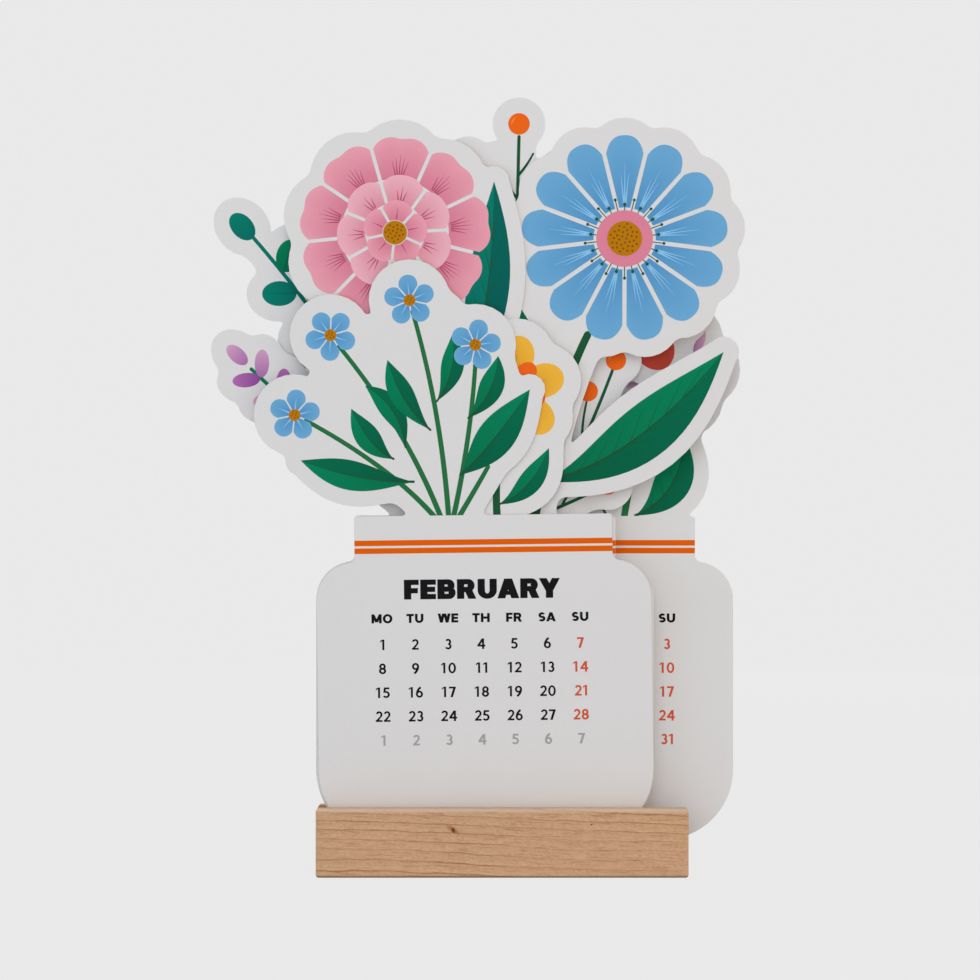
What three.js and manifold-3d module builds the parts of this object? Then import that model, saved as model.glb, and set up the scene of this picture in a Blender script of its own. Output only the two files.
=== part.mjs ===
// Desk calendar: a wooden bar with a lengthwise slot that holds twelve die-cut month cards.
// Every card has the outline of a squat vase with its own flowers, cut with a paper border.
// Millimetres, +X to the right of the calendar's face, +Y to the back, +Z up.
// The origin is the middle of the bar's underside.

import * as THREE from 'three';
import { RoundedBoxGeometry } from 'three/addons/geometries/RoundedBoxGeometry.js';
import { mergeVertices } from 'three/addons/utils/BufferGeometryUtils.js';
import Module from 'manifold-3d';

// Wooden bar
const BASE_LENGTH = 130.6;
const BASE_HEIGHT = 24;
const BASE_WALL = 10;
const BASE_EDGE_RADIUS = 1;
const BASE_EDGE_STEPS = 3;
const SLOT_DEPTH = 12.5;
const SLOT_RIM_CHAMFER = 0.6;

// Card stock, and the play that lets the cards stand and be lifted out
const CARD_THICKNESS = 0.5;
const CARD_GAP = 0.3;
const SLOT_CLEARANCE = 0.3;
const SEAT_CLEARANCE = 0.3;

// Vase outline that all the cards share
const VASE_WIDTH = 118;
const VASE_HEIGHT = 98.6;
const FOOT_RADIUS = 25;
const SHOULDER_RADIUS = 13.4;
const NECK_WIDTH = 91;
const NECK_HEIGHT = 16.2;
const LIP_RADIUS = 1.2;
const NECK_FILLET = 2.6;
const CORNER_STEPS = 10;

// Die line round the flowers
const PAPER_BORDER = 5.5;
const INNER_FILLET = 3;
// An inner corner turns by more than this, and its fillet takes at most this share of the
// way to the next inner corner
const FILLET_FROM_TURN = THREE.MathUtils.degToRad(18);
const FILLET_SHARE = 0.45;
const SMALLEST_WINDOW = 12;
const STEM_ROOT = -3;

// Where the front cards and the card put away at the back stand along the slot
const STACK_CENTRE_X = VASE_WIDTH / 2 - BASE_LENGTH / 2;
const STORED_CARD_SHIFT = 29.2;

// Fine steps of the curved outlines
const STEM_STEPS = 8;
const LEAF_STEPS = 14;
const CAP_STEPS = 7;
const ROUND_STEPS = 28;
const FILLET_STEPS = 4;
const SAME_POINT = 1e-4;

const wasm = await Module();
wasm.setup();

function solidFrom(geometry) {
  const bare = geometry.clone();
  bare.deleteAttribute('normal');
  bare.deleteAttribute('uv');
  const merged = mergeVertices(bare, SAME_POINT);
  return new wasm.Manifold(new wasm.Mesh({
    numProp: 3,
    vertProperties: merged.attributes.position.array,
    triVerts: new Uint32Array(merged.index.array),
  }));
}

function geometryFrom(solid) {
  const { vertProperties, triVerts } = solid.getMesh();
  const geometry = new THREE.BufferGeometry();
  geometry.setAttribute('position', new THREE.BufferAttribute(vertProperties, 3));
  geometry.setIndex(new THREE.BufferAttribute(triVerts, 1));
  return geometry;
}

function point(x, y) {
  return new THREE.Vector2(x, y);
}

function polar(centre, radius, angle) {
  return point(centre.x + radius * Math.cos(angle), centre.y + radius * Math.sin(angle));
}

// Outlines of the die line. Each is a closed loop of points in the card's own plane,
// measured from the middle of the vase's mouth, x to the right and y up.

// A band along a curve, halfWidth(t) wide to each side, with round ends
function band(start, bend, end, halfWidth, steps) {
  const path = new THREE.QuadraticBezierCurve(point(...start), point(...bend), point(...end));
  const left = [];
  const right = [];
  for (let step = 0; step <= steps; step += 1) {
    const t = step / steps;
    const centre = path.getPoint(t);
    const heading = path.getTangent(t).angle();
    left.push(polar(centre, halfWidth(t), heading + Math.PI / 2));
    right.push(polar(centre, halfWidth(t), heading - Math.PI / 2));
  }
  const capAt = (t, firstAngle) => {
    const cap = [];
    for (let step = 1; step < CAP_STEPS; step += 1) {
      const angle = path.getTangent(t).angle() + firstAngle + (Math.PI * step) / CAP_STEPS;
      cap.push(polar(path.getPoint(t), halfWidth(t), angle));
    }
    return cap;
  };
  return [...right, ...capAt(1, -Math.PI / 2), ...left.reverse(), ...capAt(0, Math.PI / 2)];
}

function stem(start, bend, end, width = 1.7) {
  return [band(start, bend, end, () => width / 2 + PAPER_BORDER, STEM_STEPS)];
}

// A pointed leaf, widest a little past its middle
function leaf(start, bend, end, width) {
  const halfWidth = (t) => (width / 2) * Math.sin(Math.PI * t ** 1.25);
  return [band(start, bend, end, (t) => halfWidth(t) + PAPER_BORDER, LEAF_STEPS)];
}

function oval(x, y, radiusX, radiusY, turn = 0) {
  const loop = [];
  for (let step = 0; step < ROUND_STEPS; step += 1) {
    const angle = (2 * Math.PI * step) / ROUND_STEPS;
    const across = (radiusX + PAPER_BORDER) * Math.cos(angle);
    const up = (radiusY + PAPER_BORDER) * Math.sin(angle);
    loop.push(point(across, up).rotateAround(point(0, 0), turn).add(point(x, y)));
  }
  return loop;
}

function berry(x, y, radius = 3.6) {
  return [oval(x, y, radius, radius)];
}

// Paper left between two flowers, where a slit would be too narrow to cut
function web(x, y, radius) {
  return [oval(x, y, radius, radius)];
}

// A flower head: one round lobe for each petal about a full middle
function flowerHead(x, y, petals, petalDistance, petalRadius, turn) {
  const loops = [oval(x, y, petalDistance, petalDistance)];
  for (let petal = 0; petal < petals; petal += 1) {
    const tip = polar(point(x, y), petalDistance, turn + (2 * Math.PI * petal) / petals);
    loops.push(oval(tip.x, tip.y, petalRadius, petalRadius));
  }
  return loops;
}

// A sprig with leaflets or buds that leave its stem by turns or in pairs
function sprig(start, bend, end, leaflets) {
  const path = new THREE.QuadraticBezierCurve(point(...start), point(...bend), point(...end));
  const loops = stem(start, bend, end, 1.5);
  for (const { t, side, length, width, spread } of leaflets) {
    const angle = path.getTangent(t).angle() + side * spread;
    const centre = polar(path.getPoint(t), length * 1.1, angle);
    loops.push(oval(centre.x, centre.y, length, width, angle));
  }
  return loops;
}

function januaryFlowers() {
  return [
    ...stem([20, STEM_ROOT], [24, 24], [36, 52], 2.2),
    ...flowerHead(36, 52, 6, 12, 8, 0),
    ...leaf([24, 0], [40, 6], [42, 28], 13),
    ...leaf([14, 0], [2, 30], [4, 52], 12),
    ...web(17, 36, 4),
    ...web(17, 28, 4),
    ...web(33, 33, 4),
  ];
}

function februaryFlowers() {
  const blooms = [[-66, 36], [-53, 64], [-25, 76], [-2, 60]];
  return [
    ...stem([-15, STEM_ROOT], [-30, 16], [-62, 34]),
    ...stem([-14, STEM_ROOT], [-26, 30], [-50, 60]),
    ...stem([-12, STEM_ROOT], [-14, 36], [-24, 72]),
    ...stem([-11, STEM_ROOT], [-4, 26], [-2, 54]),
    ...stem([-10, STEM_ROOT], [-2, 10], [8, 26]),
    ...leaf([-24, 12], [-44, 12], [-64, 20], 10.5),
    ...leaf([-31, 20], [-40, 24], [-46, 38], 8.5),
    ...leaf([-27, 24], [-28, 38], [-41, 46], 8),
    ...leaf([-18, 30], [-29, 40], [-33, 55], 8.5),
    ...leaf([-16, 40], [-8, 50], [-10, 64], 8),
    ...leaf([-8, 14], [2, 22], [17, 44], 13),
    ...leaf([-5, 34], [5, 42], [6, 56], 8.5),
    ...blooms.map(([x, y]) => oval(x, y, 8.9, 8.9)),
    ...web(-52, 47, 4),
    ...web(-38, 63, 3),
    ...web(-14, 71, 3),
  ];
}

function marchFlowers() {
  return [
    ...stem([4, STEM_ROOT], [2, 16], [8, 44], 2.4),
    ...flowerHead(8, 44, 6, 13, 7.5, 0.3),
    ...leaf([4, 4], [16, 8], [22, 24], 8),
  ];
}

function aprilFlowers() {
  return [
    ...stem([-6, STEM_ROOT], [-8, 40], [-27, 90], 2.6),
    ...leaf([-9, 36], [4, 70], [4, 118], 15),
    ...leaf([-10, 44], [-30, 50], [-46, 62], 11),
    ...flowerHead(-31, 100, 9, 24, 10.5, 0.1),
  ];
}

function mayFlowers() {
  return [
    ...stem([17, STEM_ROOT], [24, 40], [36, 64], 3),
    ...flowerHead(49, 98, 13, 30, 7.2, 0.12),
    ...leaf([20, 12], [52, 18], [84, 58], 19),
    ...leaf([20, 20], [16, 46], [12, 74], 13),
  ];
}

function juneFlowers() {
  return [
    ...stem([12, STEM_ROOT], [10, 60], [12, 134], 1.3),
    ...stem([11, 88], [2, 104], [-5, 122], 1.1),
    ...stem([11, 100], [18, 112], [26, 118], 1.1),
    ...berry(12, 138.5, 3.8),
    ...berry(-6, 125),
    ...berry(4, 119, 3.4),
    ...berry(27, 121, 3.4),
    ...web(18, 119, 2),
    ...web(4, 126, 1),
  ];
}

function julyFlowers() {
  const buds = [0.62, 0.73, 0.84, 0.95].flatMap((t) => {
    const length = 5.6 - 2 * (t - 0.6);
    return [1, -1].map((side) => ({ t, side, length, width: 0.55 * length, spread: 0.85 }));
  });
  return [
    ...sprig([-18, STEM_ROOT], [-46, 18], [-82, 52], buds),
    oval(-87, 57, 4.6, 2.6, 2.4),
  ];
}

function augustFlowers() {
  const leaflets = [0.46, 0.54, 0.63, 0.71, 0.8, 0.87].map((t, index) => {
    const length = 7.4 - 3.2 * (t - 0.4);
    return { t, side: index % 2 === 0 ? 1 : -1, length, width: 0.72 * length, spread: 0.95 };
  });
  return [
    ...sprig([-20, STEM_ROOT], [-40, 50], [-82, 98], leaflets),
    oval(-86, 102, 5.6, 3.8, 2.3),
  ];
}

function septemberFlowers() {
  return [
    ...stem([20, STEM_ROOT], [34, 20], [46, 52], 1.2),
    ...stem([22, 1], [34, 6], [42, 10], 1.1),
    ...stem([30, 16], [40, 24], [54, 30], 1.1),
    ...berry(47, 55),
    ...berry(37, 44),
    ...berry(44, 11),
    ...berry(57, 31),
  ];
}

function octoberFlowers() {
  return stem([28, STEM_ROOT], [26, 40], [24, 92], 1.2);
}

function novemberFlowers() {
  return [
    ...stem([24, STEM_ROOT], [36, 30], [54, 70], 2),
    ...flowerHead(54, 70, 5, 13, 8, 0.2),
  ];
}

function decemberFlowers() {
  return [
    ...stem([0, STEM_ROOT], [-4, 40], [-12, 92], 2),
    ...flowerHead(-12, 92, 8, 22, 10, 0.3),
  ];
}

// The cards from the back of the slot to its front, with how far each is slid along the slot
// and how many degrees it leans in its own plane, as cards put in by hand do
const CARDS = [
  { name: 'january_card', flowers: januaryFlowers, shift: STORED_CARD_SHIFT, lean: 0 },
  { name: 'december_card', flowers: decemberFlowers, shift: -0.4, lean: -0.1 },
  { name: 'november_card', flowers: novemberFlowers, shift: 0.3, lean: 0.1 },
  { name: 'october_card', flowers: octoberFlowers, shift: 0.6, lean: 0 },
  { name: 'september_card', flowers: septemberFlowers, shift: -0.3, lean: 0.1 },
  { name: 'august_card', flowers: augustFlowers, shift: 0.2, lean: -0.15 },
  { name: 'july_card', flowers: julyFlowers, shift: -0.2, lean: 0.1 },
  { name: 'june_card', flowers: juneFlowers, shift: 0.3, lean: 0 },
  { name: 'may_card', flowers: mayFlowers, shift: 0.4, lean: -0.1 },
  { name: 'april_card', flowers: aprilFlowers, shift: -0.3, lean: 0.1 },
  { name: 'march_card', flowers: marchFlowers, shift: 0.8, lean: 0 },
  { name: 'february_card', flowers: februaryFlowers, shift: -0.4, lean: 0.7 },
];

// The vase: a mouth with a straight neck, round shoulders and large foot corners
function vaseOutline() {
  const neck = NECK_WIDTH / 2;
  const side = VASE_WIDTH / 2;
  const shoulderTop = -NECK_HEIGHT;
  const bottom = -NECK_HEIGHT - VASE_HEIGHT;
  const rightHalf = new THREE.Shape();
  rightHalf.moveTo(0, bottom);
  rightHalf.lineTo(side - FOOT_RADIUS, bottom);
  rightHalf.absarc(side - FOOT_RADIUS, bottom + FOOT_RADIUS, FOOT_RADIUS, -Math.PI / 2, 0, false);
  rightHalf.absarc(side - SHOULDER_RADIUS, shoulderTop - SHOULDER_RADIUS, SHOULDER_RADIUS, 0,
    shoulderArcEnd(), false);
  rightHalf.quadraticCurveTo(neck, shoulderTop, neck, shoulderTop + NECK_FILLET);
  rightHalf.absarc(neck - LIP_RADIUS, -LIP_RADIUS, LIP_RADIUS, 0, Math.PI / 2, false);
  const right = rightHalf.getPoints(CORNER_STEPS);
  const left = right.slice(1).reverse().map(({ x, y }) => point(-x, y));
  return [...right, ...left];
}

// The shoulder's arc ends where the fillet at the foot of the neck begins
function shoulderArcEnd() {
  const centreX = VASE_WIDTH / 2 - SHOULDER_RADIUS;
  const filletStartX = NECK_WIDTH / 2 + NECK_FILLET;
  const cosine = THREE.MathUtils.clamp((filletStartX - centreX) / SHOULDER_RADIUS, 0, 1);
  return Math.acos(cosine);
}

function plate(loop, windows = []) {
  const shape = new THREE.Shape(loop);
  shape.holes = windows.map((window) => new THREE.Path(window));
  return new THREE.ExtrudeGeometry(shape, { depth: CARD_THICKNESS, bevelEnabled: false });
}

// The edges of a flat plate's upper face, chained into loops: the outline runs
// anticlockwise and the windows clockwise, so paper is always on the left
function faceLoops(solid) {
  const { vertProperties, triVerts } = solid.getMesh();
  const corner = (index) => new THREE.Vector3().fromArray(vertProperties, 3 * index);
  const edges = new Map();
  for (let first = 0; first < triVerts.length; first += 3) {
    const triangle = [...triVerts.slice(first, first + 3)];
    if (triangle.every((index) => corner(index).z > CARD_THICKNESS / 2)) {
      triangle.forEach((from, side) => {
        const to = triangle[(side + 1) % 3];
        edges.set(`${from}>${to}`, [from, to]);
      });
    }
  }
  const next = new Map();
  for (const [from, to] of edges.values()) {
    if (!edges.has(`${to}>${from}`)) {
      next.set(from, to);
    }
  }
  const loops = [];
  while (next.size > 0) {
    const loop = [];
    let index = next.keys().next().value;
    while (next.has(index)) {
      const { x, y } = corner(index);
      loop.push(point(x, y));
      const following = next.get(index);
      next.delete(index);
      index = following;
    }
    loops.push(loop);
  }
  return loops;
}

// Rounds every inner corner of a loop, as a die's bent steel rule does
function roundInnerCorners(loop) {
  const count = loop.length;
  const at = (index) => loop[(index + count) % count];
  const turnAt = (index) => {
    const before = at(index).clone().sub(at(index - 1));
    const after = at(index + 1).clone().sub(at(index));
    return Math.atan2(before.cross(after), before.dot(after));
  };
  const inner = loop.map((_, index) => index).filter((index) => turnAt(index) < -FILLET_FROM_TURN);
  if (inner.length === 0) {
    return loop;
  }
  const along = [0];
  for (let index = 1; index <= count; index += 1) {
    along.push(along[index - 1] + at(index - 1).distanceTo(at(index)));
  }
  const total = along[count];
  // How far along the loop from one place to the next; a whole lap where they are the same
  const lengthBetween = (from, to) => (to > from + SAME_POINT ? to - from : to - from + total);
  const pointAt = (distance) => {
    const wrapped = THREE.MathUtils.euclideanModulo(distance, total);
    const index = along.findIndex((reached, place) => place > 0 && reached >= wrapped);
    const share = (wrapped - along[index - 1]) / (along[index] - along[index - 1]);
    return at(index - 1).clone().lerp(at(index), share);
  };
  const rounded = [];
  inner.forEach((index, order) => {
    const nextIndex = inner[(order + 1) % inner.length];
    const previousIndex = inner[(order + inner.length - 1) % inner.length];
    const here = along[index];
    const ahead = lengthBetween(here, along[nextIndex]);
    const behind = lengthBetween(along[previousIndex], here);
    const reach = Math.min(INNER_FILLET, FILLET_SHARE * ahead, FILLET_SHARE * behind);
    const reachAhead = Math.min(INNER_FILLET, FILLET_SHARE * ahead);
    const fillet = new THREE.QuadraticBezierCurve(pointAt(here - reach), at(index), pointAt(here + reach));
    rounded.push(...fillet.getPoints(FILLET_STEPS));
    for (let step = 1; step < count; step += 1) {
      const between = lengthBetween(here, along[(index + step) % count]);
      if (between >= ahead - reachAhead || (index + step) % count === nextIndex) {
        break;
      }
      if (between > reach) {
        rounded.push(at(index + step));
      }
    }
  });
  return rounded;
}

function cardGeometry(flowers) {
  const blank = [vaseOutline(), ...flowers()]
    .map((loop) => solidFrom(plate(loop)))
    .reduce((joined, piece) => joined.add(piece));
  const loops = faceLoops(blank);
  const outline = loops.find((loop) => THREE.ShapeUtils.area(loop) > VASE_WIDTH * VASE_HEIGHT / 2);
  const windows = loops.filter((loop) => -THREE.ShapeUtils.area(loop) > SMALLEST_WINDOW);
  return plate(roundInnerCorners(outline), windows.map(roundInnerCorners));
}

const SLOT_FLOOR = BASE_HEIGHT - SLOT_DEPTH;
const CARD_PITCH = CARD_THICKNESS + CARD_GAP;
const STACK_DEPTH = CARDS.length * CARD_PITCH - CARD_GAP;
const SLOT_WIDTH = STACK_DEPTH + 2 * SLOT_CLEARANCE;
const BASE_DEPTH = SLOT_WIDTH + 2 * BASE_WALL;

// The slot runs out at both ends of the bar, and its rim is eased by a small chamfer
function slotCutter() {
  const half = SLOT_WIDTH / 2;
  const above = SLOT_RIM_CHAMFER;
  const section = new THREE.Shape([
    point(-half, SLOT_FLOOR),
    point(half, SLOT_FLOOR),
    point(half, BASE_HEIGHT - SLOT_RIM_CHAMFER),
    point(half + SLOT_RIM_CHAMFER + above, BASE_HEIGHT + above),
    point(-half - SLOT_RIM_CHAMFER - above, BASE_HEIGHT + above),
    point(-half, BASE_HEIGHT - SLOT_RIM_CHAMFER),
  ]);
  const pastEnds = BASE_EDGE_RADIUS;
  const depth = BASE_LENGTH + 2 * pastEnds;
  const cutter = new THREE.ExtrudeGeometry(section, { depth, bevelEnabled: false });
  cutter.translate(0, 0, -depth / 2);
  cutter.rotateX(Math.PI / 2);
  cutter.rotateZ(Math.PI / 2);
  return cutter;
}

function makeBase() {
  const size = [BASE_LENGTH, BASE_DEPTH, BASE_HEIGHT];
  const bar = new RoundedBoxGeometry(...size, BASE_EDGE_STEPS, BASE_EDGE_RADIUS);
  bar.translate(0, 0, BASE_HEIGHT / 2);
  const solid = solidFrom(bar).subtract(solidFrom(slotCutter()));
  const beech = new THREE.MeshStandardMaterial({ color: 0xc8a07d, roughness: 0.6, metalness: 0 });
  const base = new THREE.Mesh(geometryFrom(solid), beech);
  base.name = 'base';
  return base;
}

function makeCard({ name, flowers, shift, lean }, index) {
  const cardStock = new THREE.MeshStandardMaterial({ color: 0xeeedeb, roughness: 0.85, metalness: 0 });
  const card = new THREE.Mesh(cardGeometry(flowers), cardStock);
  card.name = name;
  const angle = THREE.MathUtils.degToRad(lean);
  const footHalf = VASE_WIDTH / 2 - FOOT_RADIUS;
  const footCentreDrop = NECK_HEIGHT + VASE_HEIGHT - FOOT_RADIUS;
  const mouthAboveFootCentre = footHalf * Math.abs(Math.sin(angle)) + footCentreDrop * Math.cos(angle);
  const mouthAboveFoot = mouthAboveFootCentre + FOOT_RADIUS;
  const backFace = STACK_DEPTH / 2 - index * CARD_PITCH;
  card.rotation.set(Math.PI / 2, 0, angle);
  card.position.set(STACK_CENTRE_X + shift, backFace, SLOT_FLOOR + SEAT_CLEARANCE + mouthAboveFoot);
  return card;
}

const calendar = new THREE.Group();
calendar.add(makeBase(), ...CARDS.map(makeCard));

export default calendar;
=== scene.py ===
"""Desk calendar: twelve printed die-cut cards standing in a slotted beech bar."""
import math

import bpy
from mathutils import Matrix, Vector, geometry


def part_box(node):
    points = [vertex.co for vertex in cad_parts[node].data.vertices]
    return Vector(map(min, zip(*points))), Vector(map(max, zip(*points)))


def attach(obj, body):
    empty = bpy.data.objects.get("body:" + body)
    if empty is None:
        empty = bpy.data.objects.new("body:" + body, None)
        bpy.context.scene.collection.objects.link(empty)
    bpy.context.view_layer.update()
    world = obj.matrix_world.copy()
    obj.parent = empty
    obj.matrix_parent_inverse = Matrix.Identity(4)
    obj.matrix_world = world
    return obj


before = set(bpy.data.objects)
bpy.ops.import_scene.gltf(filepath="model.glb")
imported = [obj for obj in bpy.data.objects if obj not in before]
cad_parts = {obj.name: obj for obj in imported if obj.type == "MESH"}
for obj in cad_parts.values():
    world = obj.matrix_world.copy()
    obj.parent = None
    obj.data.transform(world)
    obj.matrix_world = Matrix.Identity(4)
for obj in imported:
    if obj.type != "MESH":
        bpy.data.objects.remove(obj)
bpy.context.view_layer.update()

# All lengths below are in millimetres, and are turned into metres where a mesh is made
MM = 0.001

# The camera stands level in front of the calendar, a little left of the bar's middle. Its
# focal length is in pixels of a square picture of this width.
CAMERA_PLACE = (-4.25, -1500.0, 135.8)
FRAME_PIXELS = 980
FOCAL_PIXELS = 4243.0
SENSOR_WIDTH = 36.0

# The cards' shared vase outline, as the frame has it, and how far the stripes stop short of
# the neck's edges
VASE_WIDTH = 118.0
VASE_HEIGHT = 98.6
FOOT_RADIUS = 25.0
NECK_WIDTH = 91.0
NECK_HEIGHT = 16.2
EDGE_INSET = 0.04

# The two stripes round the vase's neck, measured down from its mouth
STRIPE_TOPS = (8.55, 11.3)
STRIPE_WIDTH = 1.95

# The month's page: heights are above the mouth, so they are below zero. The title stands a
# little to the right of the page's middle.
TITLE_HEIGHT = -26.0
TITLE_CAP = 6.95
TITLE_SHIFT = 0.45
HEADER_HEIGHT = -36.17
HEADER_CAP = 3.2
FIRST_ROW_HEIGHT = -45.36
ROW_PITCH = 8.43
COLUMN_PITCH = 11.64
DIGIT_CAP = 3.7

# Weights of lettering: width of a stem, then of a crossbar, as shares of the capitals' height.
# In the same shares: the gaps in the title and elsewhere, and what is added after a one.
HEAVY = (0.368, 0.268)
BOLD = (0.29, 0.245)
PLAIN = (0.198, 0.174)
TITLE_GAP = 0.074
GAP = 0.12
AFTER_ONE = 0.16

# Weeks run from Monday, and the year's first day is a Friday
LEAST_ROWS = 5
WEEKDAYS = ("MO", "TU", "WE", "TH", "FR", "SA", "SU")
SUNDAY = 6
YEAR_STARTS_ON = 4

# The first layer of ink lies this far in front of the card, and each further one this far
# in front of the last. Shapes that touch the same cells of a grid of this pitch are on layers
# of their own.
INK_CLEARANCE = 0.02
INK_STEP = 0.010
CELL = 1.0

# Month, days, how far the card is slid along the slot, its lean in degrees, and how far
# the page's print sits to the side of the card's middle
CARDS = (
    ("january", 31, 29.2, 0.0, 0.65),
    ("february", 28, -0.4, 0.7, -1.16),
    ("march", 31, 0.8, 0.0, 0.0),
    ("april", 30, -0.3, 0.1, 0.0),
    ("may", 31, 0.4, -0.1, 0.0),
    ("june", 30, 0.3, 0.0, 0.0),
    ("july", 31, -0.2, 0.1, 0.0),
    ("august", 31, 0.2, -0.15, 0.0),
    ("september", 30, -0.3, 0.1, 0.0),
    ("october", 31, 0.6, 0.0, 0.0),
    ("november", 30, 0.3, 0.1, 0.0),
    ("december", 31, -0.4, -0.1, 0.0),
)

# Printing inks: colour at a shape's root and, if it is graded, at its tip, 0 to 255, as they
# look in the soft light on the calendar's face, which is this much below full
INK_LIFT = 1.2
INKS = {
    "black": ((20, 20, 23),),
    "grey": ((158, 158, 158),),
    "sunday": ((202, 82, 50),),
    "stripe": ((219, 91, 0),),
    "leaf": ((0, 106, 70), (0, 126, 86)),
    "deep": ((0, 88, 60), (0, 104, 74)),
    "teal": ((0, 104, 92), (0, 120, 102)),
    "pine": ((0, 84, 78), (0, 98, 88)),
    "stem": ((36, 108, 62),),
    "dark": ((26, 82, 50),),
    "blue": ((80, 142, 192), (104, 164, 204)),
    "pale_blue": ((138, 192, 226),),
    "pink": ((208, 120, 142), (226, 154, 168)),
    "pale_pink": ((214, 138, 154), (230, 172, 184)),
    "rose": ((214, 126, 148),),
    "wine": ((176, 78, 108),),
    "mustard": ((180, 116, 4),),
    "ochre": ((214, 150, 30), (232, 176, 60)),
    "brown": ((122, 74, 12),),
    "orange": ((230, 98, 22),),
    "amber": ((242, 138, 60),),
    "mauve": ((164, 104, 164), (200, 154, 184)),
    "purple": ((138, 68, 146), (172, 104, 170)),
    "red": ((152, 40, 34), (192, 72, 54)),
    "cream": ((228, 200, 150), (246, 232, 204)),
}


def linear(colour, lift=1.0):
    """An sRGB colour, 0 to 255, as the linear RGBA that a shader takes."""
    channels = []
    for value in colour:
        share = value / 255
        toe = share / 12.92
        curve = ((share + 0.055) / 1.055) ** 2.4
        channels.append(lift * (toe if share <= 0.04045 else curve))
    return (*channels, 1.0)


def greys(*stops):
    """A ramp's stops, from pairs of a position and a grey."""
    return [(position, (grey, grey, grey, 1)) for position, grey in stops]


class Shader:
    """A node material with a Principled shader. Most methods return an output socket."""

    def __init__(self, name, roughness, specular):
        self.material = bpy.data.materials.new(name)
        self.material.use_nodes = True
        self.tree = self.material.node_tree
        self.surface = self.tree.nodes["Principled BSDF"]
        self.surface.inputs["Roughness"].default_value = roughness
        self.surface.inputs["Specular IOR Level"].default_value = specular

    def node(self, kind, sockets, **settings):
        """A new node. Each of its sockets takes a value or another node's output."""
        made = self.tree.nodes.new(kind)
        for key, value in settings.items():
            setattr(made, key, value)
        for socket, value in sockets.items():
            if isinstance(value, bpy.types.NodeSocket):
                self.tree.links.new(value, made.inputs[socket])
            else:
                made.inputs[socket].default_value = value
        return made

    def place(self, scale=(1, 1, 1), shift=(0, 0, 0), turn=(0, 0, 0), kind="POINT"):
        """The surface's own coordinates in metres, scaled, turned and shifted."""
        own = self.node("ShaderNodeTexCoord", {}).outputs["Object"]
        sockets = {"Vector": own, "Location": shift, "Rotation": turn, "Scale": scale}
        return self.node("ShaderNodeMapping", sockets, vector_type=kind).outputs["Vector"]

    def fade(self, axis, empty, full, most):
        """Rises from nothing to most between two distances from the middle, in metres."""
        split = self.node("ShaderNodeSeparateXYZ", {"Vector": self.place()})
        away = self.node("ShaderNodeMath", {0: split.outputs[axis]}, operation="ABSOLUTE")
        sockets = {"Value": away.outputs["Value"], "From Min": empty, "From Max": full, "To Max": most}
        return self.node("ShaderNodeMapRange", sockets).outputs["Result"]

    def both(self, first, second):
        """The product of two fades."""
        return self.node("ShaderNodeMath", {0: first, 1: second}, operation="MULTIPLY").outputs["Value"]

    def noise(self, where, scale, detail, roughness=0.5, output="Fac"):
        sockets = {"Vector": where, "Scale": scale, "Detail": detail, "Roughness": roughness}
        return self.node("ShaderNodeTexNoise", sockets).outputs[output]

    def grain(self, stretch, descent, scale, detail, roughness=0.5, output="Fac"):
        """A noise stretched along the grain, which descends to the right by this angle."""
        where = self.place((stretch, 1, 1), turn=(0, descent, 0), kind="TEXTURE")
        return self.noise(where, scale, detail, roughness, output)

    def pushed(self, where, noise, distance):
        """Coordinates pushed aside by a coloured noise, by a distance in metres."""
        push = self.node("ShaderNodeVectorMath", {0: noise, "Scale": distance}, operation="SCALE")
        sockets = {0: where, 1: push.outputs["Vector"]}
        return self.node("ShaderNodeVectorMath", sockets, operation="ADD").outputs["Vector"]

    def ramp(self, share, stops):
        made = self.node("ShaderNodeValToRGB", {"Fac": share})
        elements = made.color_ramp.elements
        while len(elements) < len(stops):
            elements.new(0.5)
        for element, (position, colour) in zip(elements, stops):
            element.position = position
            element.color = colour
        return made.outputs["Color"]

    def mix(self, share, first, second, blend="MIX"):
        """Mixes two colours. Each of the three is a value or an output."""
        sockets = {0: share, 6: first, 7: second}
        return self.node("ShaderNodeMix", sockets, data_type="RGBA", blend_type=blend).outputs[2]

    def stained(self, under, noise, stops, colour):
        """A colour with another laid over it, as far as a ramp of the noise says."""
        return self.mix(self.ramp(noise, stops), under, colour)

    def tinted(self, under, noise, stops, strength=1.0):
        """A colour multiplied by a tint that follows the noise."""
        return self.mix(strength, under, self.ramp(noise, stops), "MULTIPLY")

    def bump(self, relief, depth, strength, edge=0.0):
        """A relief, on edges that look rounded off by this radius in metres."""
        sockets = {"Height": relief, "Distance": depth, "Strength": strength}
        if edge:
            sockets["Normal"] = self.node("ShaderNodeBevel", {"Radius": edge}, samples=6).outputs["Normal"]
        made = self.node("ShaderNodeBump", sockets)
        self.tree.links.new(made.outputs["Normal"], self.surface.inputs["Normal"])

    def painted(self, colour):
        """The finished material, in this colour."""
        self.tree.links.new(colour, self.surface.inputs["Base Color"])
        return self.material


# The card stock, 0 to 255: its white, its clouds, the hollows of its tooth, and the peaks of
# its tooth, where it shows through the ink
CARD_WHITE = (233, 231, 230)
CARD_CLOUD = (229, 227, 225)
CARD_HOLLOW = (226, 223, 220)
CARD_PEAK = (226, 223, 219)

# Die-cutting presses the card's edges round, in metres
CUT_EDGE_ROUNDING = 0.00015


def paper_tooth(shader, edge=0.0):
    """The fine tooth of uncoated card."""
    tooth = shader.noise(shader.place(), scale=1400, detail=3, roughness=0.6)
    shader.bump(tooth, depth=0.00002, strength=0.35, edge=edge)
    return tooth


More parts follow.
